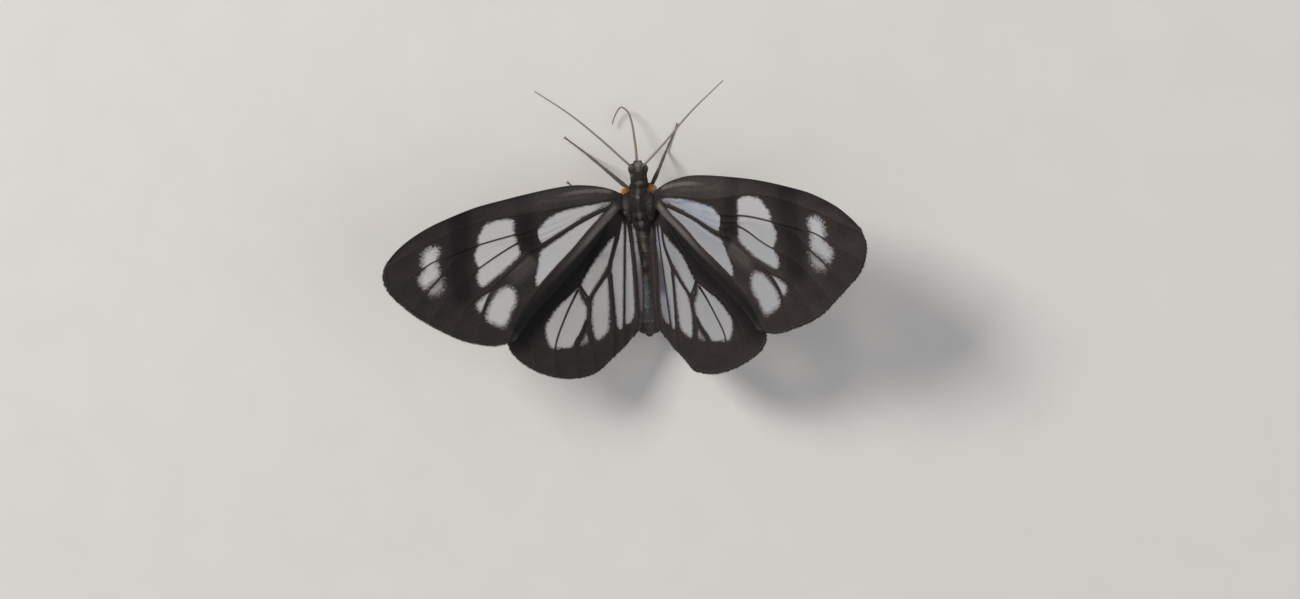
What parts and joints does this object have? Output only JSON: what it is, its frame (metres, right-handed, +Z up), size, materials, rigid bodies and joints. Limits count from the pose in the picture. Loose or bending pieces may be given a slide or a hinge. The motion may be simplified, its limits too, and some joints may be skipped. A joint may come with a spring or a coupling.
{
  "type": "moth",
  "caption": "Clear-winged day-flying moth at rest, wings half raised in a shallow V, dark scales round pale see-through windows, orange tufts on its shoulders",
  "frame": {"origin": "middle of the outline seen from above, on the floor the feet stand on", "axes": "+Z up from the floor, +Y towards the head, +X towards the moth's right wing"},
  "size_m": [0.037, 0.0224, 0.0133],
  "materials": {
    "black_wing_scales": "fine overlapping scales, matt, nearly black",
    "greenish_black_scales": "hair-like scales, matt, black with a green-grey cast",
    "grey_head_scales": "short scales, matt, dark grey",
    "dark_eye": "smooth glossy dark brown",
    "grey_brown_leg_scales": "close-lying scales, matt, grey brown",
    "brown_proboscis": "horny, half gloss, brown",
    "orange_scales": "tuft of scales, matt, orange"
  },
  "bodies": {
    "root": {"abdomen": "greenish_black_scales", "antenna_left": "grey_brown_leg_scales", "antenna_right": "grey_brown_leg_scales", "eye_left": "dark_eye", "eye_right": "dark_eye", "foreleg_left": "grey_brown_leg_scales", "foreleg_right": "grey_brown_leg_scales", "forewing_left": "black_wing_scales", "forewing_right": "black_wing_scales", "head": "grey_head_scales", "hindleg_left": "grey_brown_leg_scales", "hindleg_right": "grey_brown_leg_scales", "hindwing_left": "black_wing_scales", "hindwing_right": "black_wing_scales", "midleg_left": "grey_brown_leg_scales", "midleg_right": "grey_brown_leg_scales", "palp_left": "greenish_black_scales", "palp_right": "greenish_black_scales", "proboscis": "brown_proboscis", "shoulder_tuft_left": "orange_scales", "shoulder_tuft_right": "orange_scales", "thorax": "greenish_black_scales"}
  },
  "joints": []
}
